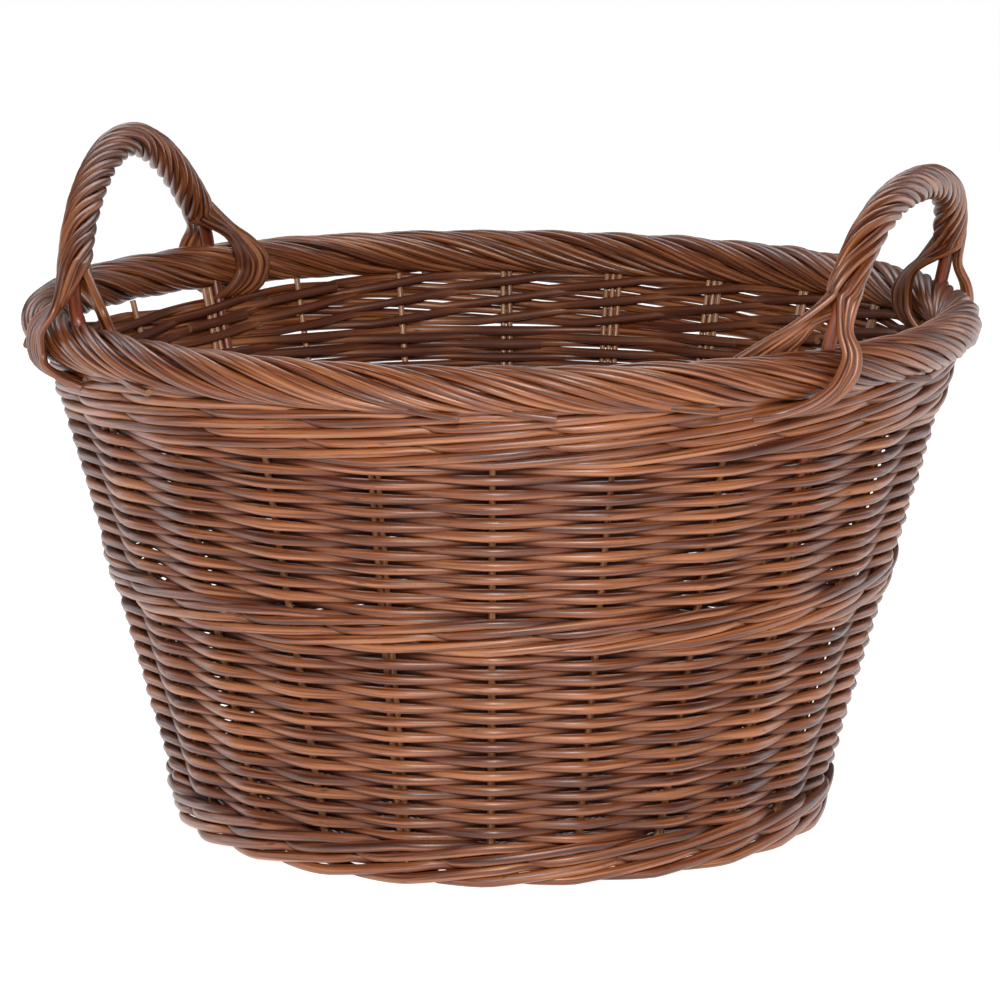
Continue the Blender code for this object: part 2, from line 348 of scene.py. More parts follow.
def willow(name, dark, middle, light, cut_colour):
    """One finish: streaked and patched bark with bud marks, painted shade where rods dive, and a lacquer
    over it.
    """
    board = Board(name)

    def attribute(word, output="Fac"):
        return board.node("ShaderNodeAttribute", {"attribute_name": word}, output=output)

    grain = attribute("grain", "Vector")
    tone, cut, stain = attribute("tone"), attribute("cut"), attribute("stain")

    def grain_noise(round_scale, along_scale, detail):
        """Noise on the rod's own surface: round_scale across the grain, along_scale for each metre."""
        stretched = board.node("ShaderNodeMapping", {"vector_type": "POINT"},
                               {"Vector": grain, "Scale": (round_scale, round_scale, along_scale)})
        shift = board.node("ShaderNodeCombineXYZ", None,
                           {"X": tone * pattern_shift[0], "Z": tone * pattern_shift[1]})
        moved = board.node("ShaderNodeVectorMath", {"operation": "ADD"}, {0: stretched, 1: shift})
        return board.node("ShaderNodeTexNoise", None,
                          {"Vector": moved, "Scale": 1.0, "Detail": detail, "Roughness": 0.6})

    streaks = grain_noise(1.5, 10.0, 5.0)
    fibres = grain_noise(4.6, 30.0, 3.0)
    patches = grain_noise(0.5, 11.0, 2.0)
    marks = grain_noise(1.3, 95.0, 1.0)
    body = (tone * 0.42 + patches * 0.7 + (streaks - 0.5) * 3.4 - 0.08).clamped()
    bark = board.node("ShaderNodeValToRGB", {"stops": [(0.0, dark), (0.46, middle), (1.0, light)]},
                      {"Fac": body})
    spots = ((marks - bud_level) * 9.0).clamped()
    marked = board.blend(spots * 0.7, bark, shaded(dark, 0.35))
    # painted shade: the bark is darkened where a rod dives behind a stake; below, its lacquer is dulled
    # there too
    with_painted_shade = board.blend(stain * 0.75, marked, shaded(dark, 1.35))
    coloured = board.blend(cut, with_painted_shade, cut_colour)
    height = streaks * 0.5 + fibres * 0.35 - spots * 0.4
    bump = board.node("ShaderNodeBump", None, {"Strength": 0.6, "Distance": bump_depth, "Height": height})
    rough = fibres * 0.22 + patches * 0.12 + bark_roughness - 0.17 + cut * 0.3 + stain * 0.25
    coat = lacquer_weight * (1.0 - stain * 0.85)
    board.plug(board.shader.inputs["Coat Roughness"], lacquer_roughness)
    return board.finish(Base_Color=coloured, Roughness=rough.clamped(), Normal=bump, Coat_Weight=coat)


finishes = {name: willow(name, *colours) for name, colours in willow_colours.items()}
print("finishes:", ", ".join(finishes))

# %% [markdown]
# ## Rods
#
# Every piece is a bundle of rods, so one helper makes them all. A rod is a line of points and a
# thickness at each point. All the rods of a piece are laid as the splines of one curve object, the
# curve's round bevel gives them their thickness, and the result is turned into a mesh. The open ends
# are closed there, and the four attributes are written from each ring's place along its rod.

# %% Rods
end_step = 0.0004                       # the last ring before a cut end
end_share = 0.97                        # a cut end's edge is rounded down to this share


class Rod:
    """A line of points with a radius at each; ends are cut square unless the rod is a closed ring.

    Its tone is one number from 0, dark, to 1, light. Its stain, the strength of painted shade, is a number
    from 0 to 1 at each point.
    """

    def __init__(self, points, radius, closed=False, tone=0.5, stain=0.0):
        self.points = np.array([tuple(p) for p in points], float)
        self.radii = np.broadcast_to(np.asarray(radius, float), (len(self.points),)).copy()
        self.closed = closed
        self.tone = tone
        self.stain = np.broadcast_to(np.asarray(stain, float), (len(self.points),)).copy()
        self.cut = np.zeros(len(self.points))
        if not closed:
            self.square_ends()

    def square_ends(self):
        """Adds a ring just inside each end and marks the ends themselves as cut."""
        first, second, beyond, last = self.points[0], self.points[1], self.points[-2], self.points[-1]
        near_first = first + (second - first) / np.linalg.norm(second - first) * end_step
        near_last = last + (beyond - last) / np.linalg.norm(beyond - last) * end_step
        self.points = np.vstack([first, near_first, self.points[1:-1], near_last, last])
        self.radii = np.concatenate([self.radii[:1] * end_share, self.radii[:1], self.radii[1:-1],
                                     self.radii[-1:], self.radii[-1:] * end_share])
        self.stain = np.concatenate([self.stain[:1], self.stain, self.stain[-1:]])
        self.cut = np.zeros(len(self.points))
        self.cut[[0, -1]] = 1.0

    def along(self):
        """The distance of each point from the rod's first point."""
        steps = np.linalg.norm(np.diff(self.points, axis=0), axis=1)
        return np.concatenate([[0.0], np.cumsum(steps)])


# %% [markdown]
# ## From rods to a piece
#
# `lay_rods` makes one piece of a list of rods in three steps: the curve and its mesh, the attributes,
# and the closed ends. It then gives the piece its finish and hides the imported solids it stands for.

# %% Pieces from rods
def rods_as_mesh(name, rods, smoothness):
    """Lays the rods as the splines of one curve and turns it into a mesh."""
    curve = bpy.data.curves.new(name, "CURVE")
    curve.dimensions = "3D"
    curve.bevel_depth = 1.0             # so that a point's radius is the rod's own, in metres
    curve.bevel_resolution = smoothness
    for rod in rods:
        spline = curve.splines.new("POLY")
        spline.points.add(len(rod.points) - 1)
        spline.points.foreach_set("co", np.column_stack([rod.points, np.ones(len(rod.points))]).ravel())
        spline.points.foreach_set("radius", rod.radii)
        spline.use_cyclic_u = rod.closed
        spline.use_smooth = True
    holder = placed(name + "_line", curve)
    evaluated = holder.evaluated_get(bpy.context.evaluated_depsgraph_get())
    mesh = bpy.data.meshes.new_from_object(evaluated)
    bpy.data.objects.remove(holder)
    return mesh


def write_attribute(mesh, name, kind, field, values):
    if len(values) != len(mesh.vertices):
        raise ValueError("%s: %d values for %d vertices" % (name, len(values), len(mesh.vertices)))
    attribute = mesh.attributes.new(name, kind, "POINT")
    attribute.data.foreach_set(field, np.asarray(values, np.float32).ravel())


def write_attributes(mesh, rods, sides):
    """Writes grain, tone, cut and stain, the painted shade, ring by ring along each rod."""
    turn = np.arange(sides) * math.tau / sides
    ring = np.stack([np.cos(turn), np.sin(turn), np.zeros(sides)], 1)
    grain, tone, cut, stain = [], [], [], []
    for rod in rods:
        along = rod.along()
        block = np.broadcast_to(ring, (len(along), sides, 3)).copy()
        block[:, :, 2] = along[:, None]
        grain.append(block.reshape(-1, 3))
        tone.append(np.full(len(along) * sides, rod.tone))
        cut.append(np.repeat(rod.cut, sides))
        stain.append(np.repeat(rod.stain, sides))
    write_attribute(mesh, "grain", "FLOAT_VECTOR", "vector", np.concatenate(grain))
    for word, values in (("tone", tone), ("cut", cut), ("stain", stain)):
        write_attribute(mesh, word, "FLOAT", "value", np.concatenate(values))


def close_ends(mesh):
    """Fills the open ends. The quads along a rod are smooth; an end has more corners and stays flat."""
    shape = bmesh.new()
    shape.from_mesh(mesh)
    bmesh.ops.holes_fill(shape, edges=[edge for edge in shape.edges if edge.is_boundary], sides=0)
    bmesh.ops.recalc_face_normals(shape, faces=shape.faces)
    for face in shape.faces:
        face.smooth = len(face.verts) == 4
    shape.to_mesh(mesh)
    shape.free()


def lay_rods(name, rods, slot, replaced, smoothness=3):
    """Turns rods into one piece: a mesh with closed ends, its finish and its body; the imported solids it
    replaces are hidden.
    """
    mesh = rods_as_mesh(name, rods, smoothness)
    write_attributes(mesh, rods, 4 + 2 * smoothness)     # the number of a bevel's sides
    close_ends(mesh)
    mesh.name = name
    piece = placed(name, mesh)
    mesh.materials.clear()
    mesh.materials.append(finishes[slot])
    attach(piece, "root")
    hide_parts(*replaced)
    print(name, len(rods), "rods,", len(mesh.polygons), "faces")


# %% [markdown]
# ## Small irregularities
#
# No two rods are alike. A rod's thickness and path wander a little, always from a seeded random source,
# so that the basket comes out the same each time.

# %% Wander and thickness
def waver(chance, size, waves=(3, 5, 8)):
    """A smooth wandering value: a sum of a few waves with random phases, for a share from 0 to 1."""
    parts = [(wave, chance.random() * math.tau, size / math.sqrt(wave)) for wave in waves]

    def value(share):
        return sum(height * math.sin(math.tau * wave * share + start) for wave, start, height in parts)

    return value


def varied(radius, spread, chance):
    """A rod's own radius: up to this share thinner or thicker than usual."""
    return radius * (1 - spread + 2 * spread * chance.random())


def ease(value):
    """A smooth step from 0 to 1."""
    value = min(1.0, max(0.0, value))
    return value * value * (3 - 2 * value)


def shade_of_dive(lean):
    """The painted shade where a rod leans out (1) or in (-1): none in front of a stake, all of it behind."""
    return ease(0.5 - 0.62 * lean)


# %% [markdown]
# ## Base
#
# Six sticks lie across six others in the middle, then all of them spread like the ribs of a fan. Each is
# one rod from edge to edge, drawn here through a few points on its way.

# %% Base sticks
sticks = 6
stick_radius = 0.0040
stick_pitch = 0.0090                    # from one stick to the next in the middle
layer_gap = 0.0003                      # between the two layers of sticks
slath_half = 0.0360                     # the sticks run side by side as far as this
weave_start = 0.0605                    # and have spread by the first round of pairing
base_radius = 0.1960
stick_overhang = 0.003                  # the ribs end this far outside the base's radius
base_level = (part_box("base_weave_lower")[1].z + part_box("base_weave_upper")[0].z) / 2


def smooth_line(points, steps=8):
    """A smooth line through points (Catmull-Rom)."""
    points = [Vector(p) for p in points]
    padded = [2 * points[0] - points[1]] + points + [2 * points[-1] - points[-2]]
    line = []
    for number in range(len(points) - 1):
        a, b, c, d = padded[number:number + 4]
        for step in range(steps):
            t = step / steps
            line.append(0.5 * (2 * b + (c - a) * t + (2 * a - 5 * b + 4 * c - d) * t * t
                               + (3 * b - a - 3 * c + d) * t ** 3))
    line.append(points[-1])
    return line


def base_stick_line(number, turned):
    """The line of a stick; the turned ones lie across the others, on top of them."""
    side_step = number - (sticks - 1) / 2
    spread = side_step * math.tau / (4 * sticks)
    crossing = base_level + (1 if turned else -1) * (stick_radius + layer_gap / 2)
    half = [Vector((0.0, side_step * stick_pitch, crossing)),
            Vector((slath_half * 0.6, side_step * stick_pitch, crossing)),
            Vector((slath_half, side_step * stick_pitch, crossing))]
    for reach in (weave_start, (weave_start + base_radius) / 2, base_radius + stick_overhang):
        half.append(Vector((reach * math.cos(spread), reach * math.sin(spread), base_level)))
    whole = [Vector((-p.x, p.y, p.z)) for p in reversed(half[1:])] + half
    if turned:
        whole = [Vector((-p.y, p.x, p.z)) for p in whole]
    return smooth_line(whole, 5)


chance = random.Random(11)
for turned, word in ((False, "long"), (True, "cross")):
    for number in range(sticks):
        stick = Rod(base_stick_line(number, turned), stick_radius, tone=chance.random())
        node = "base_stick_%s_%d" % (word, number + 1)
        lay_rods("stick_%s_%d" % (word, number + 1), [stick], "pale_willow", [node])

# %% [markdown]
# ## Base weaving
#
# First come a few close rounds that tie the cross: one rod passes over one pair of its arms and under
# the other pair, and its partner the other way round. After them the weaving is pairing, in which two
# rods twist round each other as they pass the ribs and spiral outward to the turned-up stakes.

# %% Base weaving
base_rod_radius = 0.0024
base_rod_points = 420                   # the length of a base rod, in points of its line
base_taper = 0.12                       # a butt is this share thicker than usual, and a tip thinner
base_ring_step = 0.0047
ribs = 4 * sticks
ribs_offset = math.tau / ribs / 2
weave_edge = 0.2090                     # the weaving fills up to the turned-up stakes
rounds = int((weave_edge - base_rod_radius - weave_start) / base_ring_step)
tie_rounds = 5
tie_start = 0.0398
tie_step = 0.0046
tie_points = 96
tie_between = 0.0029                    # a tie's distance from the base's middle level, between the layers
tie_outside = 0.0099                    # and outside them
tie_steepness = 3.0                     # how sharply it changes sides between two arms


def base_weave_line(start_rib, side_sign):
    """A rod spiralling out over one rib and under the next."""
    line = []
    per_rib = 6
    for step in range(rounds * ribs * per_rib + 1):
        rib = step / per_rib
        reach = weave_start + base_ring_step * rib / ribs
        angle = ribs_offset + (start_rib + rib) * math.tau / ribs
        rise = side_sign * (stick_radius + base_rod_radius) * math.cos(math.pi * rib)
        line.append(Vector((reach * math.cos(angle), reach * math.sin(angle), base_level + rise)))
    return line


def broken_into_rods(line):
    """Cuts a long line into rods laid end to end, each thick at its butt and thin at its tip."""
    rods = []
    start = 0
    while start < len(line) - 2:
        stop = min(len(line) - 1, start + base_rod_points)
        share = np.linspace(0, 1, stop - start + 1)
        thickness = base_rod_radius * (1 + base_taper - 2 * base_taper * share)
        rods.append(Rod(line[start:stop + 1], thickness, tone=chance.random()))
        start = stop
    return rods


def tie_line(reach, over_long):
    """One round of the tie: over one pair of arms of the cross and under the other pair."""
    line = []
    for step in range(tie_points):
        angle = math.tau * step / tie_points
        arm = math.tanh(tie_steepness * math.cos(2 * angle)) / math.tanh(tie_steepness)
        rise = tie_between * arm if over_long else -tie_outside * arm
        line.append(Vector((reach * math.cos(angle), reach * math.sin(angle), base_level + rise)))
    return line


weave = []
for round_number in range(tie_rounds):
    for over_long in (True, False):
        tie = tie_line(tie_start + tie_step * round_number, over_long)
        weave.append(Rod(tie, base_rod_radius, closed=True, tone=chance.random()))
for start_rib, side_sign in ((0, 1), (0, -1)):
    weave += broken_into_rods(base_weave_line(start_rib, side_sign))
lay_rods("base_weave", weave, "brown_willow", ["base_weave_lower", "base_weave_upper"], smoothness=2)

# %% [markdown]
# ## Stakes
#
# The stakes are pushed in beside the base sticks, pricked up at the edge and stand straight up to the
# border. Beside some of them stand one or two more rods, bye-stakes, pushed in after the foot wale.
# They show as short pale marks between the rods of the siding.

# %% Side stakes
stake_butt = 0.0027                     # a stake's radius at the foot
stake_tip = 0.0021                      # and at the border
stake_start = 0.1500                    # its lower end, beside a base stick
stake_top = 0.3165                      # its upper end, inside the border
stake_gap = 0.0003                      # between two rods of a group
upright_from = 0.036                    # it stands in the wall from this height
bye_from = 0.020                        # and so does a bye-stake, from this height
bye_share = 0.85                        # a bye-stake's thickness as a share of a stake's
# its lower end's points: how far out, and how far above the base's middle level
base_bend = ((stake_start, 0.0), (base_radius, 0.0), (0.2045, 0.0014), (0.2092, 0.0062))
groups = {3: 2, 4: 2, 5: 3, 6: 3, 7: 2, 10: 2, 13: 2, 18: 2, 22: 2, 23: 2}     # rods; 1 elsewhere


def stake_line(number, shift, low=None):
    """The line of one stake, shifted sideways for a bye-stake."""
    angle = stake_angle(number)
    sideways = Vector((-math.sin(angle), math.cos(angle), 0.0)) * shift
    line = []
    if low is None:
        for reach, rise in base_bend:
            line.append(Vector((reach * math.cos(angle), reach * math.sin(angle), base_level + rise)))
        low = upright_from
    for share in (0.0, 0.25, 0.5, 0.75, 1.0):
        line.append(wall(angle, low + (stake_top - low) * share))
    return [point + sideways for point in smooth_line(line, 6)]


def stake_rod(line, chance, share=1.0):
    """A stake: full thickness until it turns up, then slowly thinner."""
    rise = [max(0.0, min(1.0, (point.z - foot_top) / (border_height - foot_top))) for point in line]
    thickness = [share * (stake_butt + (stake_tip - stake_butt) * part) for part in rise]
    return Rod(line, thickness, tone=chance.random())


chance = random.Random(23)
for number in range(stakes):
    count = groups.get(number, 1)
    step = 2 * stake_tip + stake_gap
    rods = [stake_rod(stake_line(number, -step * (count - 1) / 2), chance)]
    for bye in range(1, count):
        line = stake_line(number, step * (bye - (count - 1) / 2), low=bye_from)
        rods.append(stake_rod(line, chance, bye_share))
    lay_rods("stake_%02d" % (number + 1), rods, "pale_willow", ["side_stake_%02d" % (number + 1)])

# %% [markdown]
# ## Siding
#
# The siding is randing: each rod passes in front of one stake and behind the next, and each layer
# starts one stake further on, so the fronts sit like bricks. Rods are wider than the step from one
# layer to the next, which is what squeezes them into the lens shapes seen from outside: wide where they
# cross a stake, pointed where they dive between their neighbours. A round is one rod, thick at its butt
# and thin at its tip, and both ends are left inside the basket.

# %% Siding
per_stake = 8
siding_swing = 1.92                     # how far a rod leans out over a stake, in its own radii
siding_lap = 0.34                       # each end runs this far past the round's first stake, in stakes
siding_climb = 0.12                     # the tip lies this share of a layer higher than the butt
siding_wander = 0.00018                 # up and down
siding_breathe = 0.0003                 # in and out
thickness_spread = 0.04
swing_bend = 0.94                       # nearer to 1, a rod runs straighter between two stakes


def swing_wave(number):
    """1 in front of a stake and -1 behind the next, nearly straight between them."""
    return math.asin(swing_bend * math.cos(math.pi * number)) / math.asin(swing_bend)


def siding_layer(height, phase, radius, chance, rise):
    """One round of randing: a rod whose ends both lie inside the basket."""
    start = 2 * chance.randrange(stakes // 2) + (0 if phase else 1)
    swing = siding_swing * radius
    wander = waver(chance, siding_wander)
    breathe = waver(chance, siding_breathe)
    steps = int((stakes + 2 * siding_lap) * per_stake)
    line, thickness, stain = [], [], []
    for step in range(steps + 1):
        share = step / steps
        number = start - siding_lap + (stakes + 2 * siding_lap) * share
        wave = swing_wave(number + phase)
        lift = rise * (number - start) / stakes - rise / 2 + wander(share)
        line.append(wall(stake_angle(number), height + lift, swing * wave + breathe(share)))
        thickness.append(radius * (1.03 - 0.08 * share + 0.19 * wave * wave))
        # painted shade, strongest where the rod dives behind a stake
        stain.append(shade_of_dive(wave))
    return Rod(line, thickness, tone=chance.random(), stain=stain)


def siding(name, low, high, layers, radius, seed, nodes):
    """One stretch of siding, layer upon layer."""
    chance = random.Random(seed)
    step = (high - low) / layers
    rods = []
    for layer in range(layers):
        height = low + (layer + 0.5) * step
        plump = varied(radius, thickness_spread, chance)
        rods.append(siding_layer(height, layer % 2, plump, chance, step * siding_climb))
    lay_rods(name, rods, "brown_willow", nodes)


siding("lower_siding", foot_top, middle_low, 26, 0.00290, 31, ["lower_siding_%d" % n for n in (1, 2, 3)])
siding("upper_siding", middle_high, top_low, 21, 0.00286, 37, ["upper_siding_%d" % n for n in (1, 2, 3)])

# %% [markdown]
# ## Wales
#
# A wale binds the stakes. It is laid with three rods at once: each goes in front of two stakes and
# behind one, over the two rods that follow it. From outside it shows as long floats that climb to the
# right, like a flat rope, and it stands out a little from the siding. The rounds are level, and each rod
# goes once round and ends where it began.

# %% Wales
wale_swing = 0.0020                     # how far a rod clears the stakes' line, besides its own radius
wale_climb = 0.46                       # how far a rod climbs and drops, as a share of a round's height
wale_drop = 0.6                         # half the way of the drop, in stakes
wale_turn = 0.95                        # the way from behind to in front, in stakes
wale_lap = 0.36                         # each end runs this far past the rod's first stake, in stakes
wale_wander = 0.0004
lap_shift = 0.0016                      # one end lies this much lower and the other higher
lap_tuck = 0.003                        # and both are tucked in this far
sag_middle = math.radians(160.0)
sag_half = math.radians(44.0)           # the sagging stretch reaches this far either way


def wale_reach(phase, swing):
    """Outward move of a waling rod: behind at 0 and 3, in front at 1 and 2."""
    phase = phase % 3.0
    return swing * (2 * ease(min(phase, 3.0 - phase) / wale_turn) - 1)


def wale_lift(phase, climb):
    """A waling rod climbs while it is in front and drops back behind a stake."""
    phase = phase % 3.0
    if phase < wale_drop:
        return -climb * phase / wale_drop
    if phase > 3.0 - wale_drop:
        return climb * (3.0 - phase) / wale_drop
    return -climb + 2 * climb * (phase - wale_drop) / (3.0 - 2 * wale_drop)


def sag(angle):
    """How much of its drop the weaving takes at an angle: all of it far round on the left side."""
    away = abs((angle - sag_middle + math.pi) % math.tau - math.pi)
    return ease(1.0 - away / sag_half)


def wale_rod(low, high, middle, climb, strand, radius, proud, drop, chance):
    """One rod of a wale, round its middle height and between the band's low and high edges."""
    wander = waver(chance, wale_wander, (2, 5, 9))
    begin = strand + 3 * chance.randrange(stakes // 3)
    total = int((stakes + 2 * wale_lap) * per_stake)
    line, stain = [], []
    for step in range(total + 1):
        share = step / total
        phase = (stakes + 2 * wale_lap) * share - wale_lap
        angle = stake_angle(begin + phase)
        edge = min(1.0, min(share, 1 - share) * stakes / wale_lap)
        height = middle + wale_lift(phase, climb) + wander(share)
        height += (1.0 - edge) * (lap_shift if share > 0.5 else -lap_shift)
        height = min(max(height, low + radius), high - radius)
        height -= drop * sag(angle) * (height - low) / (high - low)
        reach = wale_reach(phase, wale_swing + radius) + wander(1 - share) - lap_tuck * (1.0 - edge)
        line.append(wall(angle, height, reach + proud))
        # painted shade, strongest where the rod passes behind a stake
        stain.append(shade_of_dive(wale_reach(phase, 1.0)))
    plump = varied(radius, thickness_spread, chance)
    thickness = np.linspace(1.05, 0.95, len(line)) * plump
    return Rod(line, thickness, tone=chance.random(), stain=stain)


def wale(name, low, high, rounds, radius, seed, nodes, proud, drop=0.0):
    """Level rounds of three-rod wale, standing proud of the stakes' line and sagging on the left."""
    chance = random.Random(seed)
    pitch = (high - low) / rounds
    rods = []
    for level in range(rounds):
        for strand in range(3):
            middle = low + (level + 0.5) * pitch
            rods.append(wale_rod(low, high, middle, wale_climb * pitch, strand, radius, proud, drop, chance))
    lay_rods(name, rods, "brown_willow", nodes)


wale("foot_wale_weave", 0.0002, foot_top + 0.0010, 2, 0.0034, 41, ["foot_wale"], proud=0.0028)
wale("middle_wale_weave", middle_low, middle_high, 2, 0.0031, 43, ["middle_wale"], proud=0.0014)
wale("top_wale_weave", top_low, top_high + 0.0038, 3, 0.0031, 47, ["top_wale"], proud=0.0008, drop=0.0100)

# %% [markdown]
# ## Border
#
# The stakes' ends are laid down in groups and rolled round each other over the rim. What shows is a
# rope of about fifteen rods with a right-hand twist, about 23 cm to a turn, whose rods lie together in
# threes with a deeper groove between the groups.

# %% Border rope
border_strands = 15
border_turns = 8
turn_points = 40                        # points of a strand's line on each turn
strand_radius = 0.0026
strand_inset = 0.0004                   # the strands stay this far inside the rope's radius
strand_spread = 0.05
group = 3
group_lean = 0.16                       # the outer two of a group lean to the middle one, in strands
group_groove = 0.0008                   # and lie this much deeper
border_sway = 0.05
border_swell = 0.0004
stub_places = (-77, -66, -47, -12, 24, 71, 118, 160, 204, 243)     # degrees
# a stub's points: travel along the border, outward from its centre line, height from it
stub_way = ((-0.045, 0.003, -0.0095), (-0.020, 0.009, -0.0128), (0.0, 0.0115, -0.0152))
stub_radius = 0.0024
heart_radius = 0.0098                   # the dark heart closes the view between the strands
heart_points = 180


def border_frame(angle):
    """The border's centre and its outward direction at an angle."""
    centre = Vector((border_x * math.cos(angle), border_y * math.sin(angle), border_height))
    outward = Vector((math.cos(angle) / border_x, math.sin(angle) / border_y, 0.0)).normalized()
    return centre, outward


def border_strand(number, chance):
    """One strand of the rope, all the way round."""
    place = number % group - (group - 1) / 2
    start = math.tau * (number - place * group_lean) / border_strands
    depth = rope_radius - strand_radius - strand_inset - (group_groove if place else 0.0)
    sway = waver(chance, border_sway)
    swell = waver(chance, border_swell)
    weight = 1 + strand_spread * chance.uniform(-1, 1)
    plump = waver(chance, strand_spread)
    steps = border_turns * turn_points
    line, thickness = [], []
    for step in range(steps):
        share = step / steps
        angle = math.tau * share
        section = start - border_turns * angle + sway(share)
        centre, outward = border_frame(angle)
        reach = depth + swell(share)
        line.append(centre + outward * reach * math.cos(section) + Vector((0, 0, reach * math.sin(section))))
        thickness.append(strand_radius * weight * (1 + plump(share)))
    return Rod(line, thickness, closed=True, tone=0.6 * chance.random())


def stub(degrees, chance):
    """A cut end of a stake, left showing under the rope."""
    tip = []
    for travel, reach, drop in stub_way:
        centre, outward = border_frame(math.radians(degrees) + travel / border_x)
        tip.append(centre + outward * reach + Vector((0, 0, drop)))
    return Rod(smooth_line(tip, 4), stub_radius, tone=0.4 * chance.random())


chance = random.Random(53)
border_rods = [border_strand(number, chance) for number in range(border_strands)]
border_rods += [stub(degrees, chance) for degrees in stub_places]
heart = [border_frame(math.tau * step / heart_points)[0] for step in range(heart_points)]
border_rods.append(Rod(heart, heart_radius, closed=True, tone=0.1))
lay_rods("border", border_rods, "brown_willow", ["border_rope"], smoothness=4)

# %% [markdown]
# ## Handles
#
# Each handle is a thick bow whose ends are pushed down through the border beside a stake. The two were
# bent by hand, so their feet and their arches differ. The line follows the wall up to where the arch
# springs from it, and two smooth curves meet at the arch's top.

# %% Handle bows
spring_height = 0.3450                  # where an arch leaves the line of the wall
bow_radius = 0.0045
bow_bottom = 0.2250                     # its ends reach down to this height
bow_tip = 0.60                          # and thin down to this share of its radius
bow_steps = 36
leg_steps = 8
# top is the arch's highest point; leg and crown are how straight it leaves the wall and meets its top;
# part is the height where its rope parts.
handles = {
    "right": {"side": 1, "front": math.radians(30.0), "back": math.radians(30.0),
              "top": (0.2796, -0.0188, 0.4288), "leg": 0.754, "crown": 0.556, "part": 0.3720},
    "left": {"side": -1, "front": math.radians(45.0), "back": math.radians(30.0),
             "top": (0.2591, -0.0077, 0.4362), "leg": 0.209, "crown": 0.415, "part": 0.3700},
}


def bow_line(handle, steps):
    """The bow's centre line from its front foot over the top to its back foot."""
    top = Vector(handle["top"])
    legs = []
    for angle in (-handle["front"], handle["back"]):
        heights = [bow_bottom + (spring_height - bow_bottom) * n / leg_steps for n in range(leg_steps)]
        leg = [wall(angle, height) for height in heights]
        spring = wall(angle, spring_height)
        leaving = spring + handle["leg"] * Vector((top.x - spring.x, 0.0, top.z - spring.z))
        arriving = top + handle["crown"] * Vector((0.0, spring.y - top.y, 0.0))
        for step in range(steps):
            t = step / steps
            u = 1 - t
            leg.append(u ** 3 * spring + 3 * u * u * t * leaving + 3 * u * t * t * arriving + t ** 3 * top)
        legs.append(leg)
    line = legs[0] + [top] + legs[1][::-1]
    return [Vector((handle["side"] * point.x, point.y, point.z)) for point in line]


chance = random.Random(61)
for word, handle in handles.items():
    line = bow_line(handle, bow_steps)
    rise = [min(1.0, (point.z - bow_bottom) / (border_height - bow_bottom)) for point in line]
    bow = Rod(line, bow_radius * (bow_tip + (1 - bow_tip) * np.array(rise)), tone=chance.random())
    lay_rods("bow_" + word, [bow], "red_willow", ["handle_bow_" + word])

# %% [markdown]
# ## Feet of the handles
#
# Nine finer rods are laid round each bow as a right-hand rope. At a foot they part: some pass over the
# outside of the border and the rest over the inside, and all of them are tucked away under it. Each way
# round the border is a short list of places: outward from the border's centre line, height, and travel
# along the border towards the arch.

# %% Ways round the border
rope_strands = 9
rope_strand_radius = 0.0029
over_outside = [
    (0.0120, 0.3560, 0.002), (0.0172, 0.3430, 0.003), (0.0192, 0.3320, 0.001), (0.0176, 0.3205, -0.005),
    (0.0112, 0.3125, -0.012), (0.0025, 0.3085, -0.018), (-0.0070, 0.3070, -0.022)]
long_outside = [
    (0.0125, 0.3560, 0.003), (0.0176, 0.3430, 0.004), (0.0194, 0.3320, 0.000), (0.0180, 0.3205, -0.010),
    (0.0125, 0.3125, -0.024), (0.0050, 0.3085, -0.040), (-0.0060, 0.3070, -0.052)]
over_inside = [
    (-0.0125, 0.3560, -0.008), (-0.0175, 0.3440, -0.018), (-0.0194, 0.3325, -0.024),
    (-0.0178, 0.3210, -0.022), (-0.0110, 0.3125, -0.015), (-0.0030, 0.3085, -0.008),
    (0.0030, 0.3075, -0.004)]
straight_inside = [
    (-0.0135, 0.3540, 0.001), (-0.0180, 0.3420, 0.000), (-0.0192, 0.3320, -0.002),
    (-0.0170, 0.3210, -0.005), (-0.0100, 0.3125, -0.008), (-0.0020, 0.3085, -0.010)]
swept_outside = [
    (0.0110, 0.3580, 0.006), (0.0168, 0.3460, 0.018), (0.0194, 0.3335, 0.027), (0.0184, 0.3210, 0.028),
    (0.0125, 0.3125, 0.023), (0.0030, 0.3085, 0.015), (-0.0070, 0.3070, 0.008)]
along_inside = [
    (-0.0050, 0.3600, -0.022), (-0.0095, 0.3505, -0.044), (-0.0140, 0.3420, -0.064),
    (-0.0172, 0.3330, -0.082), (-0.0165, 0.3220, -0.094)]
# For each foot: how many strands go outside, the two ways, and how much the inner bundle fans out.
feet = {
    ("right", "front"): (3, long_outside, along_inside, 0.72),
    ("right", "back"): (3, over_outside, over_inside, 0.3),
    ("left", "front"): (6, swept_outside, straight_inside, 0.0),
    ("left", "back"): (4, over_outside, over_inside, 0.0),
}
print("feet:", ", ".join("%s %s" % foot for foot in feet))

# %% [markdown]
# ## Bundles
#
# The strands that go the same way lie side by side as a flat bundle, which opens as it leaves the rope.
# Some bundles fan out along the border instead.

# %% Bundles
bundle_pitch = 0.95                     # from strand to strand, as a share of their thickness
bundle_start = 0.62                     # a bundle's width where it leaves the rope, as a share
bundle_opening = 0.19                   # and how much it widens at each place of its way


def foot_place(word, end):
    """A foot's place on the border: centre line point, outward, and along the border towards the arch."""
    handle = handles[word]
    angle = -handle["front"] if end == "front" else handle["back"]
    if handle["side"] < 0:
        angle = math.pi - angle
    centre, outward = border_frame(angle)
    along = Vector((-outward.y, outward.x, 0.0))
    return centre, outward, along if (end == "front") == (word == "right") else -along


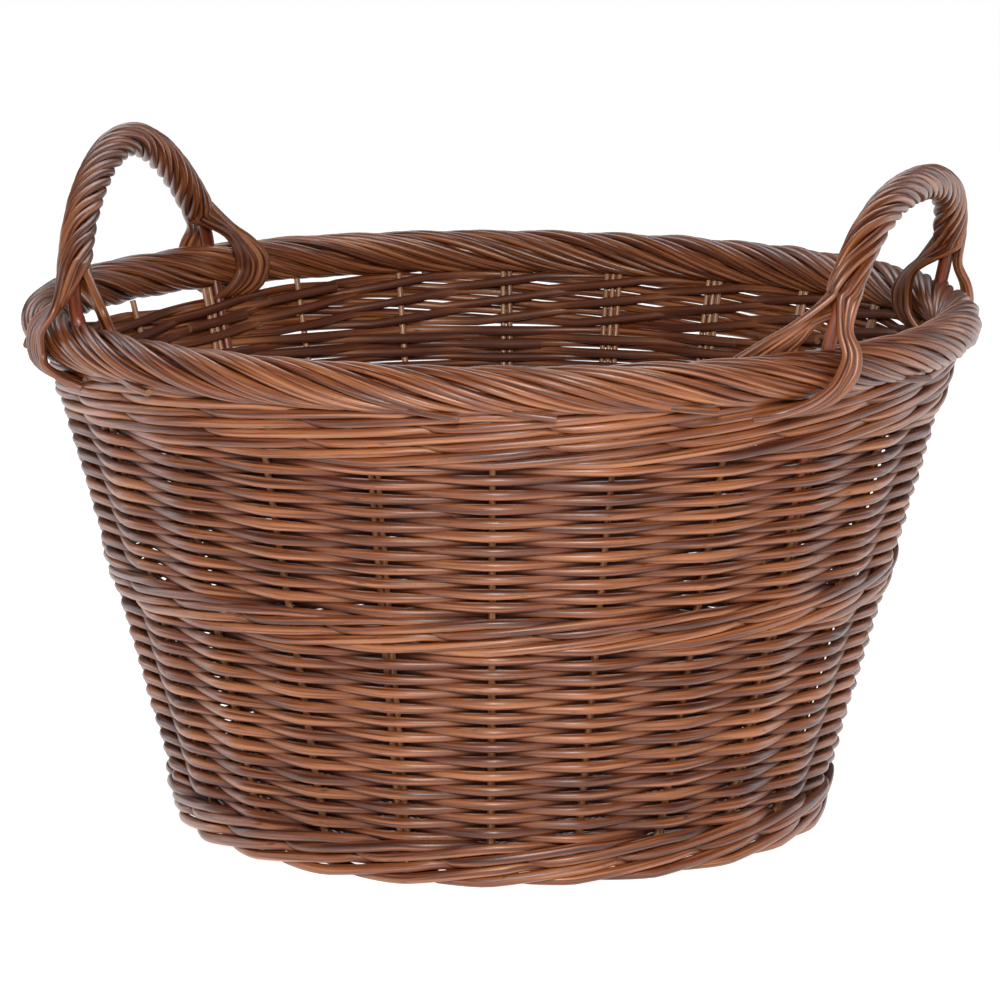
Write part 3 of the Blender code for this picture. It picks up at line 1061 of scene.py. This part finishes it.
def bundle_way(word, end, way, stretch):
    """The middle line of a bundle, and the direction in which its strands lie side by side."""
    centre, _, toward = foot_place(word, end)
    middles = []
    for reach, height, travel in way:
        moved = centre + toward * travel * stretch
        swung, facing = border_frame(math.atan2(moved.y / border_y, moved.x / border_x))
        middles.append((swung + facing * reach + Vector((0, 0, height - border_height)), swung))
    lined = []
    for number, (middle, swung) in enumerate(middles):
        ahead = middles[min(number + 1, len(middles) - 1)][0] - middles[max(number - 1, 0)][0]
        lined.append((middle, ahead.cross(middle - swung).normalized()))
    return lined


def bundle_tails(word, end, numbers, starts, way, fan):
    """One tail for each strand of a bundle: side by side, or fanned along the border."""
    toward = foot_place(word, end)[2]
    beside = bundle_way(word, end, way, 1.0)[0][1]
    measure = -toward if fan else beside
    numbers = sorted(numbers, key=lambda number: starts[number].dot(measure))
    tails = {}
    for place, number in enumerate(numbers):
        share = place / max(1, len(numbers) - 1)
        stretch = 1.0 - fan * (1.0 - share)
        spread = (share - 0.5) * (len(numbers) - 1) * 2 * rope_strand_radius * bundle_pitch * (1.0 - fan)
        lined = bundle_way(word, end, way, stretch)
        tails[number] = [middle + sideways * spread * min(1.0, bundle_start + bundle_opening * step)
                         for step, (middle, sideways) in enumerate(lined)]
    return tails


# %% [markdown]
# ## Handle ropes
#
# Above the feet each strand winds round the bow. Its line is the tail of its front foot, the winding and
# the tail of its back foot, all in one, so that every strand is a single rod from tuck to tuck.

# %% Handle ropes
rope_reach = 0.0086                     # from the bow's middle to a strand's
rope_pitch = 0.1350                     # the length of one turn
rope_sway = 0.09
rope_spread = 0.06
rope_steps = 90
rope_skip = 3                           # each strand takes every third of the arch's points


def covered_frames(line, part):
    """Points of the arch above the parting, with two directions square to it and the distance along."""
    covered = [point for point in line if point.z >= part]
    frames = []
    distance = 0.0
    for number, point in enumerate(covered):
        ahead = covered[min(number + 1, len(covered) - 1)] - covered[max(number - 1, 0)]
        ahead.normalize()
        if number:
            distance += (point - covered[number - 1]).length
        sideways = (Vector((1, 0, 0)) - ahead * ahead.x).normalized()
        frames.append((point, sideways, ahead.cross(sideways), distance))
    return frames


def rope_around(word, chance):
    """All the strands of one handle: laid round the bow, parted at the feet and tucked under the border."""
    handle = handles[word]
    frames = covered_frames(bow_line(handle, rope_steps), handle["part"])
    total = frames[-1][3]

    def laid(number, frame, sway=0.0):
        point, sideways, across, distance = frame
        turn = math.tau * (number / rope_strands + distance / rope_pitch) + sway
        return point + (sideways * math.cos(turn) + across * math.sin(turn)) * rope_reach

    tails = {}
    for end, frame in (("front", frames[0]), ("back", frames[-1])):
        outer_count, outside, inside, fan = feet[(word, end)]
        outward = foot_place(word, end)[1]
        starts = [laid(number, frame) for number in range(rope_strands)]
        ranked = sorted(range(rope_strands), key=lambda number: -starts[number].dot(outward))
        tails[end] = bundle_tails(word, end, ranked[:outer_count], starts, outside, 0.0)
        tails[end].update(bundle_tails(word, end, ranked[outer_count:], starts, inside, fan))
    rods = []
    for number in range(rope_strands):
        sway = waver(chance, rope_sway)
        rope = [laid(number, frame, sway(frame[3] / total)) for frame in frames[::rope_skip]]
        whole = tails["front"][number][::-1] + rope + tails["back"][number]
        plump = varied(rope_strand_radius, rope_spread, chance)
        rods.append(Rod(smooth_line(whole, 4), plump, tone=0.7 * chance.random()))
    return rods


for word in handles:
    nodes = ["handle_wrap_" + word]
    for end in ("front", "back"):
        nodes += ["foot_lashing_%s_%s_%s" % (word, end, layer) for layer in ("outer", "inner")]
    strands = rope_around(word, random.Random(71))
    lay_rods("handle_rope_" + word, strands, "brown_willow", nodes, smoothness=4)
